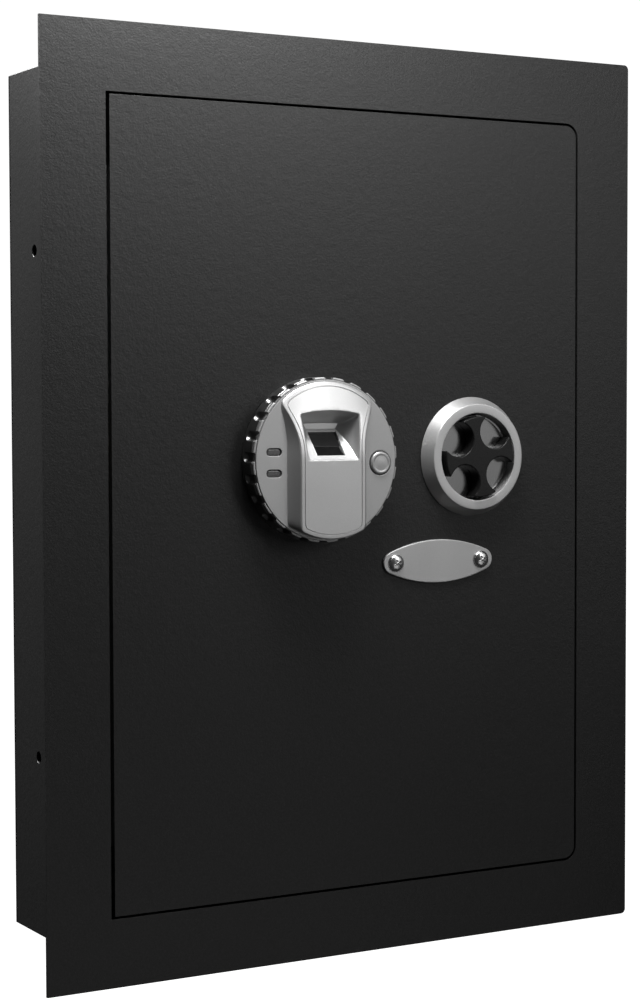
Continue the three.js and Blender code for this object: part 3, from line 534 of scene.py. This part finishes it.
def notched_ring(y, step):
    def radius(t):
        return SCANNER_RADIUS - max(step, min(pocket_depth(t, BASE_FRONT) * NOTCH_DEEPER, RIM_BAND))

    return rim_ring(y, radius)


LED_AT = [(-34.2, 5.0), (-34.2, -7.1)]
LED_HALF_LENGTH = 4.9
LED_HALF_HEIGHT = 2.2
BUTTON_AT = (35.6, -2.2)
BUTTON_RADIUS = 6.6
BUTTON_SIDES = 64
STADIUM_STEPS = 10
LENS_GAP = 0.25


def stadium(half_length, radius, x, z):
    reach = half_length - radius
    points = []
    for side in (1, -1):
        for k in range(STADIUM_STEPS + 1):
            t = math.pi * (k / STADIUM_STEPS - 0.5) + (0 if side > 0 else math.pi)
            points.append((x + side * reach + radius * math.cos(t), z + radius * math.sin(t)))
    return points


def scanner_face():
    back = BASE_FRONT - 0.35
    # The inset and height of each ring: the rim's strips, the groove inside them, the disc's edge.
    strips = [(0.0, 1.3), (0.15, 0.85), (0.5, 0.6), (0.8, 0.55), (RIM_BAND, 0.6)]
    groove = [(RIM_BAND + 0.05, 1.1), (1.45, 1.1)]
    edge = [(1.5, 0.4), (1.65, 0.1), (2.0, 0.0)]
    rings = [notched_ring(back, 0.0)]
    rings += [notched_ring(FACE_FRONT + rise, step) for step, rise in strips + groove + edge]
    face = loft("scanner_face_fine", rings, SCANNER_AT)
    tools = []
    for x, z in LED_AT:
        outline = stadium(LED_HALF_LENGTH, LED_HALF_HEIGHT, x, z)
        levels = [(-0.6, FACE_FRONT - 1), (-0.45, FACE_FRONT), (-0.12, FACE_FRONT + 0.12)]
        levels += [(0.0, FACE_FRONT + 0.45), (0.0, back + 1)]
        tools.append(loft("slot", plate_rings(outline, levels), SCANNER_AT))
    bore = [(8.2, FACE_FRONT - 1), (7.9, FACE_FRONT), (7.3, FACE_FRONT + 0.12)]
    bore += [(7.05, FACE_FRONT + 0.5), (7.05, back + 1)]
    tools.append(turned("bore", bore, on_scanner(*BUTTON_AT), BUTTON_SIDES))
    tools.append(recess_well())
    combine(face, "DIFFERENCE", *tools)
    adopt(face, "scanner_face", 30)


def led_lenses():
    for (x, z), node in zip(LED_AT, ("led_lens_upper", "led_lens_lower")):
        outline = stadium(LED_HALF_LENGTH - LENS_GAP, LED_HALF_HEIGHT - LENS_GAP, x, z)
        front = FACE_FRONT + 0.7
        levels = [(0.0, BASE_FRONT - 0.5), (0.0, front + 0.5), (0.15, front + 0.25)]
        levels += [(0.55, front + 0.06), (1.2, front)]
        adopt(loft(node + "_fine", plate_rings(outline, levels), SCANNER_AT), node, 60)


def scan_button():
    front = FACE_FRONT - 1.3
    profile = [(BUTTON_RADIUS, BASE_FRONT - 1.2), (BUTTON_RADIUS, front + 0.9)]
    profile += [(6.45, front + 0.45), (6.05, front + 0.12), (5.5, front), (5.1, front + 0.02)]
    profile += [(4.7, front + 0.22), (4.3, front + 0.26), (2.2, front + 0.1), (0.4, front + 0.04)]
    button = turned("scan_button_fine", profile, on_scanner(*BUTTON_AT), BUTTON_SIDES)
    adopt(button, "scan_button", 60)


# The bridge stands on the disc: straight sides that flare towards the top, and a front that falls
# back to the disc's edge at the top.

BRIDGE_RADIUS = 44.9
BRIDGE_HALF = 21.3
BRIDGE_FLARE = 9.6
FLARE_START = 6.0
FLARE_TOP = 33.5
BRIDGE_FRONT = -25.0
BRIDGE_FALL = 7.6
FALL_START = 2.0
BRIDGE_FOOT = -16.95
BRIDGE_DRAFT = 4.6
STRAIGHT_Z = -30.0  # any height below the flare
CORNER_BETWEEN = (20.0, 42.0)  # heights that hold the outline's upper corner
CORNER_HALVINGS = 30
SIDE_STEPS = 30
ARC_STEPS = 36


def bridge_half(z):
    share = min(1.0, max(0.0, (z - FLARE_START) / (FLARE_TOP - FLARE_START)))
    return BRIDGE_HALF + BRIDGE_FLARE * share**1.8


def bridge_front(x, z):
    top = math.sqrt(max(1.0, BRIDGE_RADIUS**2 - x * x))
    share = min(1.0, max(0.0, (z - FALL_START) / (top - FALL_START)))
    return BRIDGE_FRONT + BRIDGE_FALL * share**1.5


def bridge_outline(step, draft=0.0):
    """The bridge's outline, inset by a step and widened towards its foot by a draft."""
    radius = BRIDGE_RADIUS - step

    def half(z):
        rise = (BRIDGE_FOOT - bridge_front(bridge_half(z), z)) / (BRIDGE_FOOT - BRIDGE_FRONT)
        return bridge_half(z) - step + draft * max(0.0, rise)

    low, high = CORNER_BETWEEN
    for _ in range(CORNER_HALVINGS):
        middle = (low + high) / 2
        if half(middle) ** 2 + middle**2 < radius**2:
            low = middle
        else:
            high = middle
    top_z = low
    bottom_z = -math.sqrt(radius**2 - half(STRAIGHT_Z) ** 2)
    right = [bottom_z + (top_z - bottom_z) * k / SIDE_STEPS for k in range(SIDE_STEPS)]
    right = [(half(z), z) for z in right]
    start = math.atan2(top_z, half(top_z))
    over = [start + (math.pi - 2 * start) * k / ARC_STEPS for k in range(ARC_STEPS + 1)]
    points = right + [(radius * math.cos(t), radius * math.sin(t)) for t in over]
    points += [(-x, z) for x, z in reversed(right)]
    start = math.atan2(-bottom_z, half(STRAIGHT_Z))
    under = [math.pi + start + (math.pi - 2 * start) * k / ARC_STEPS for k in range(1, ARC_STEPS)]
    points += [(radius * math.cos(t), radius * math.sin(t)) for t in under]
    return points


def softened(outline, times):
    """A closed outline with each point drawn towards its two neighbours."""
    for _ in range(times):
        near = zip(outline[-1:] + outline[:-1], outline, outline[1:] + outline[:1])
        outline = [tuple((a + 2 * b + c) / 4 for a, b, c in zip(*three)) for three in near]
    return outline


def bridge_ring(step, drop, draft=0.0, scale=1.0):
    outline = softened(bridge_outline(step, draft), 2)
    points = [(x * scale, z * scale) for x, z in outline]
    return [(x, min(bridge_front(x, z) + drop, BRIDGE_FOOT - 0.05), z) for x, z in points]


# The finger recess: a rounded mouth that follows the front, a floor that faces forward and up,
# curved sides and a roof. A block behind the bridge's front holds its walls.

MOUTH_LOW = 0.6
MOUTH_HIGH = 26.0  # at the upper corners
MOUTH_CROWN = 28.0  # at the middle of the upper edge
MOUTH_HALF_LOW = 15.9
MOUTH_HALF_HIGH = 19.0
MOUTH_ROUND = 1.3
MOUTH_MIDDLE = 13.5
MOUTH_REACH = 17.0
LONG_EDGE = 20
LONG_EDGE_CUTS = 6
RECESS_BACK = -9.6
BACK_WALL = (17.8, 20.8)  # lowest and highest Z of the back wall
BACK_SHARE = 0.6  # the back wall's width as a share of the mouth's
BLOCK_HALF = 20.3
BLOCK_Y = (-17.6, -7.6)
BLOCK_Z = (-0.3, 27.3)
WELL_Y = (-18.0, -7.4)
WELL_GAP = 0.3


def mouth_outline():
    corners = [(-MOUTH_HALF_LOW, MOUTH_LOW), (MOUTH_HALF_LOW, MOUTH_LOW)]
    corners.append((MOUTH_HALF_HIGH, MOUTH_HIGH))
    for x in (12.7, 6.3, 0.0, -6.3, -12.7):
        fall = (MOUTH_CROWN - MOUTH_HIGH) * (x / MOUTH_HALF_HIGH) ** 2
        corners.append((x, MOUTH_CROWN - fall))
    corners.append((-MOUTH_HALF_HIGH, MOUTH_HIGH))
    points = []
    for i, corner in enumerate(corners):
        ahead = Vector(corners[(i + 1) % len(corners)]) - Vector(corner)
        cuts = LONG_EDGE_CUTS if ahead.length > LONG_EDGE else 1
        points += [tuple(Vector(corner) + ahead * k / cuts) for k in range(cuts)]
    return eased(points, MOUTH_ROUND)


def mouth_ring(grow, drop):
    scale = 1 + grow / MOUTH_REACH
    points = [(x * scale, MOUTH_MIDDLE + (z - MOUTH_MIDDLE) * scale) for x, z in mouth_outline()]
    return [(x, bridge_front(x, z) + drop, z) for x, z in points]


def deep_ring(share):
    """The recess's section at a share of the way from its mouth to its back wall."""
    points = []
    for x, z in mouth_outline():
        height = (z - MOUTH_LOW) / (MOUTH_HIGH - MOUTH_LOW)
        back_z = BACK_WALL[0] + height * (BACK_WALL[1] - BACK_WALL[0])
        start_y = bridge_front(x, z) + 1.0
        y = start_y + (RECESS_BACK - start_y) * share
        narrow = 1 - (1 - BACK_SHARE) * share**1.7
        points.append((x * narrow, y, z + (back_z - z) * share))
    return points


def recess_tool():
    rings = [mouth_ring(1.5, -2.0), mouth_ring(1.1, -0.02), mouth_ring(0.62, 0.14)]
    rings += [mouth_ring(0.28, 0.38), mouth_ring(0.07, 0.72)]
    rings += [deep_ring(share) for share in (0.0, 0.2, 0.4, 0.6, 0.8, 1.0)]
    return loft("recess", rings, SCANNER_AT)


def block_box(name, ys, grow=0.0):
    x, _, z = SCANNER_AT
    half = BLOCK_HALF + grow
    low = (x - half, ys[0], z + BLOCK_Z[0] - grow)
    return box_mesh(name, low, (x + half, ys[1], z + BLOCK_Z[1] + grow))


def recess_well():
    """Room in the disc and the base for the block."""
    return block_box("well", WELL_Y, WELL_GAP)


FLOOR_ANGLE = math.atan2(17.2, 14.4)
WINDOW_HALF = 9.2
WINDOW_NEAR = 3.0
WINDOW_FAR = 20.4
FLOOR_EDGE_Y = -24.0
SLAB_ROUND = 0.5


def on_floor(x, along, height):
    """A place by the recess's floor: X, distance up it from its front edge, height above it."""
    y = FLOOR_EDGE_Y + along * math.cos(FLOOR_ANGLE) - height * math.sin(FLOOR_ANGLE)
    z = MOUTH_LOW + along * math.sin(FLOOR_ANGLE) + height * math.cos(FLOOR_ANGLE)
    return (x, y, z)


def floor_slab(name, half, near, far, levels):
    """A plate parallel to the floor; levels lists its inset and height at each ring."""
    rings = []
    for step, height in levels:
        x = half - step
        corners = [(-x, near + step), (x, near + step), (x, far - step), (-x, far - step)]
        rings.append([on_floor(a, b, height) for a, b in eased(corners, SLAB_ROUND)])
    return loft(name, rings, SCANNER_AT)


def scanner_bridge():
    foot = softened(bridge_outline(0.0, BRIDGE_DRAFT), 2)
    rings = [[(x, BRIDGE_FOOT, z) for x, z in foot]]
    # An eased edge, a fine groove inside it and rings that close in on the middle.
    rings += [bridge_ring(0.0, 0.8, 0.45), bridge_ring(0.12, 0.35), bridge_ring(0.4, 0.1)]
    rings += [bridge_ring(0.8, 0.0), bridge_ring(2.3, 0.0), bridge_ring(2.42, 0.5)]
    rings += [bridge_ring(2.78, 0.5), bridge_ring(2.9, 0.0)]
    closing = (0.93, 0.84, 0.74, 0.63, 0.52, 0.41, 0.3, 0.19, 0.08)
    rings += [bridge_ring(2.9, 0.0, scale=scale) for scale in closing]
    bridge = loft("scanner_bridge_fine", rings, SCANNER_AT)
    combine(bridge, "UNION", block_box("block", BLOCK_Y))
    levels = [(-0.35, 3.0), (-0.35, 0.1), (0.0, -0.25), (0.0, -1.7)]
    well = floor_slab("well", WINDOW_HALF, WINDOW_NEAR, WINDOW_FAR, levels)
    combine(bridge, "DIFFERENCE", recess_tool(), well)
    paint(bridge, BRIDGE_SILVER)
    adopt(bridge, "scanner_bridge", 28)


def sensor_window():
    levels = [(0.15, -1.6), (0.15, -1.1), (0.35, -0.9), (0.8, -0.85)]
    glass = floor_slab("sensor_window_fine", WINDOW_HALF, WINDOW_NEAR, WINDOW_FAR, levels)
    adopt(glass, "sensor_window", 60)


scanner_base()
scanner_face()
led_lenses()
scan_button()
scanner_bridge()
sensor_window()

# ---------------------------------------------------------------- knob

KNOB_AT = (79.7, 0.0, 25.0)
RING_SIDES = 128
CUP_RADIUS = 25.7
CUP_RIM = -4.6


def knob_escutcheon():
    """A coned ring with a polished cup inside."""
    outside = [(7.0, -3.5), (7.0, -2.3), (35.7, -2.3), (35.6, -2.6), (31.9, -9.6)]
    crest = [(31.5, -10.1), (30.9, -10.3), (26.7, -10.3), (26.2, -10.15), (26.0, -9.7)]
    inside = [(25.9, -4.9), (25.6, -4.1), (24.9, -3.6), (24.0, -3.5)]
    profile = outside + crest + inside
    ring = turned("knob_escutcheon_fine", profile, KNOB_AT, RING_SIDES, closed=True)
    ring.data.materials.append(SATIN_SILVER)
    ring.data.materials.append(CUP_POLISH)
    for polygon in ring.data.polygons:
        middle = polygon.center / MM - Vector(KNOB_AT)
        if math.hypot(middle.x, middle.z) < CUP_RADIUS and middle.y > CUP_RIM:
            polygon.material_index = 1
    adopt(ring, "knob_escutcheon", 30)


CROSS_RADIUS = 24.2
BITE_RADIUS = 10.5
BITE_REACH = 18.4
CROSS_TILT = math.radians(10.0)
CROSS_FRONT = -12.4
BITE_STEPS = 20
TIP_STEPS = 8


def cross_outline():
    """Four finger bites out of a disc, with the tips rounded."""
    points = []
    # Where a bite's circle meets the disc's, as an angle from the disc's middle and from the bite's.
    sides = CROSS_RADIUS**2 + BITE_REACH**2 - BITE_RADIUS**2
    near = math.acos(sides / (2 * CROSS_RADIUS * BITE_REACH))
    x = CROSS_RADIUS * math.cos(near) - BITE_REACH
    turn = math.atan2(CROSS_RADIUS * math.sin(near), x)
    for k in range(4):
        middle = CROSS_TILT + math.pi / 4 + k * math.pi / 2
        for i in range(BITE_STEPS + 1):
            t = middle - turn - (2 * math.pi - 2 * turn) * i / BITE_STEPS
            x = BITE_REACH * math.cos(middle) + BITE_RADIUS * math.cos(t)
            z = BITE_REACH * math.sin(middle) + BITE_RADIUS * math.sin(t)
            points.append((x, z))
        width = math.pi / 2 - 2 * near
        for i in range(1, TIP_STEPS):
            t = middle + near + width * i / TIP_STEPS
            points.append((CROSS_RADIUS * math.cos(t), CROSS_RADIUS * math.sin(t)))
    return softened(points, 1)


def knob_cross():
    levels = [(0.0, -3.8), (0.0, CROSS_FRONT + 0.75), (0.1, CROSS_FRONT + 0.35)]
    levels += [(0.35, CROSS_FRONT + 0.1), (0.75, CROSS_FRONT)]
    cross = loft("knob_cross_fine", plate_rings(cross_outline(), levels), KNOB_AT)
    adopt(cross, "knob_cross", 50)


knob_escutcheon()
knob_cross()

# ---------------------------------------------------------------- nameplate

PLATE_AT = (55.8, 0.0, -37.0)
PLATE_HALF_LENGTH = 38.3
PLATE_HALF_HEIGHT = 12.9
PLATE_END = 6.5
PLATE_SCREW = 30.0
EDGE_STEPS = 40
END_STEPS = 14
SCREW_SIDES = 64
SCREW_TURN = 0.5


def pointed_oval():
    """Two shallow arcs that run into a small round at each end."""
    end_x = PLATE_HALF_LENGTH - PLATE_END
    rise = PLATE_HALF_HEIGHT - PLATE_END
    drop = (end_x**2 - rise**2) / (2 * rise)
    spread = math.atan2(end_x, drop)
    quarter = math.pi / 2
    arcs = [(0, -drop, drop + PLATE_HALF_HEIGHT, quarter - spread, quarter + spread, EDGE_STEPS)]
    arcs.append((-end_x, 0, PLATE_END, quarter + spread, 3 * quarter - spread, END_STEPS))
    lower = (0, drop, drop + PLATE_HALF_HEIGHT, -quarter - spread, -quarter + spread, EDGE_STEPS)
    arcs.append(lower)
    arcs.append((end_x, 0, PLATE_END, spread - quarter, quarter - spread, END_STEPS))
    points = []
    for x, z, radius, start, end, steps in arcs:
        turns = [start + (end - start) * k / steps for k in range(steps)]
        points += [(x + radius * math.cos(t), z + radius * math.sin(t)) for t in turns]
    return points


def nameplate():
    """Left blank: a pressed plate with eased edges."""
    levels = [(0.0, -2.3), (0.0, -3.2), (0.12, -3.45), (0.35, -3.57), (0.7, -3.6)]
    plate = loft("nameplate_fine", plate_rings(pointed_oval(), levels), PLATE_AT)
    adopt(plate, "nameplate", 60)


def dome_screw(node, side):
    """A domed head with a cross recess."""
    shank = [(1.9, 2.0), (1.9, -3.7)]
    head = [(5.2, -3.7), (5.25, -4.0), (5.0, -4.6), (4.3, -5.3), (3.2, -5.85)]
    head += [(1.8, -6.15), (0.3, -6.25)]
    place = (PLATE_AT[0] + side * PLATE_SCREW, 0, PLATE_AT[2])
    screw = turned(node + "_fine", shank + head, place, SCREW_SIDES)
    arms = []
    for turn in (SCREW_TURN, SCREW_TURN + math.pi / 2):
        rings = []
        for half, wide, y in ((3.0, 0.62, -7.5), (2.2, 0.42, -4.5)):
            middle = Vector((place[0], y, place[2]))
            along = Vector((math.cos(turn), 0, math.sin(turn))) * half
            over = Vector((-math.sin(turn), 0, math.cos(turn))) * wide
            corners = ((-1, -1), (1, -1), (1, 1), (-1, 1))
            rings.append([a * along + b * over + middle for a, b in corners])
        arms.append(loft("arm", rings))
    combine(screw, "DIFFERENCE", *arms)
    paint(screw, SCREW_STEEL)
    adopt(screw, node, 35)


nameplate()
dome_screw("nameplate_screw_left", -1)
dome_screw("nameplate_screw_right", 1)


# ---------------------------------------------------------------- floor, light and camera


FILL_STRENGTH = 0.03
BACKDROP_STRENGTH = 1.05


def studio():
    """A weak fill on the object, and a white backdrop that only the camera sees."""
    world = bpy.data.worlds.new("studio")
    bpy.context.scene.world = world
    world.use_nodes = True
    tree = world.node_tree
    tree.nodes.clear()
    output = tree.nodes.new("ShaderNodeOutputWorld")
    mix = tree.nodes.new("ShaderNodeMixShader")
    path = tree.nodes.new("ShaderNodeLightPath")
    tree.links.new(path.outputs["Is Camera Ray"], mix.inputs["Fac"])
    for strength, socket in ((FILL_STRENGTH, 1), (BACKDROP_STRENGTH, 2)):
        background = tree.nodes.new("ShaderNodeBackground")
        background.inputs["Color"].default_value = (*grey(1.0), 1.0)
        background.inputs["Strength"].default_value = strength
        tree.links.new(background.outputs["Background"], mix.inputs[socket])
    tree.links.new(mix.outputs["Shader"], output.inputs["Surface"])


# Name, place, the point it faces, size and watts.
LIGHTS = [
    ("top_strip", (-0.07, -0.17, 0.48), (-0.04, 0, 0.1), (0.36, 0.2), 2.3),
    ("crown", (-0.05, -0.13, 0.41), (-0.04, 0, 0.2), (0.16, 0.1), 1.9),
    ("right_front", (1.3, -1.6, 0.5), (0, 0, 0), (1.2, 1.2), 5.0),
    ("right_high", (0.75, -1.6, 0.75), (-0.03, 0, 0.2), (0.4, 0.4), 4.9),
    ("high", (0.5, -0.9, 0.95), (-0.03, 0, 0.2), (0.4, 0.4), 2.4),
    ("low_bounce", (0.5, -1.6, -0.9), (0, 0, 0), (1.2, 0.8), 2.2),
    ("side_rim", (-0.55, 0.55, 0.75), (-0.19, 0.05, 0.2), (0.4, 0.4), 38.0),
]


def soft_light(name, at, towards, size, watts):
    data = bpy.data.lights.new(name, "AREA")
    data.shape = "RECTANGLE"
    data.size, data.size_y = size
    data.energy = watts
    light = bpy.data.objects.new(name, data)
    light.location = at
    light.rotation_euler = (Vector(towards) - Vector(at)).to_track_quat("-Z", "Y").to_euler()
    bpy.context.scene.collection.objects.link(light)


FLOOR_DROP = 0.9
FLOOR_SIZE = 40.0
FLOOR_GLOW = 1.1


def floor():
    """Pale ground that casts no light or reflection on the object."""
    n = Nodes("pale_floor")
    tone = n.noise(0.8, 2.0)
    n.colour(n.ramp(tone, [(0.3, grey(0.93)), (0.7, grey(0.96))]))
    n.roughness(n.remap(tone, 0.3, 0.7, 0.7, 0.8))
    n.shader.inputs["Emission Color"].default_value = (*grey(1.0), 1.0)
    n.shader.inputs["Emission Strength"].default_value = FLOOR_GLOW
    bpy.ops.mesh.primitive_grid_add(x_subdivisions=8, y_subdivisions=8, size=FLOOR_SIZE)
    o = bpy.context.object
    o.name = "floor"
    o.location = (0, 0, -FLOOR_DROP)
    o.data.materials.append(n.material)
    o.visible_glossy = False
    o.visible_diffuse = False


CAMERA_AT = (-0.6587, -1.1129, 0.0627)
CAMERA_YAW = math.radians(29.708)
CAMERA_PITCH = math.radians(2.715)
CAMERA_ROLL = math.radians(-0.16)
CAMERA_LENS = 79.8
CAMERA_SENSOR = 36.0


def camera():
    """Left of the safe's middle and a little above it, looking to the right and slightly down."""
    data = bpy.data.cameras.new("camera")
    data.lens = CAMERA_LENS
    data.sensor_width = CAMERA_SENSOR
    o = bpy.data.objects.new("camera", data)
    yaw = Matrix.Rotation(-CAMERA_YAW, 4, "Z")
    pitch = Matrix.Rotation(math.pi / 2 - CAMERA_PITCH, 4, "X")
    roll = Matrix.Rotation(CAMERA_ROLL, 4, "Z")
    o.matrix_world = Matrix.Translation(CAMERA_AT) @ (yaw @ pitch) @ roll
    bpy.context.scene.collection.objects.link(o)
    bpy.context.scene.camera = o


studio()
floor()
camera()
for light in LIGHTS:
    soft_light(*light)

bpy.context.scene.view_settings.view_transform = "Standard"
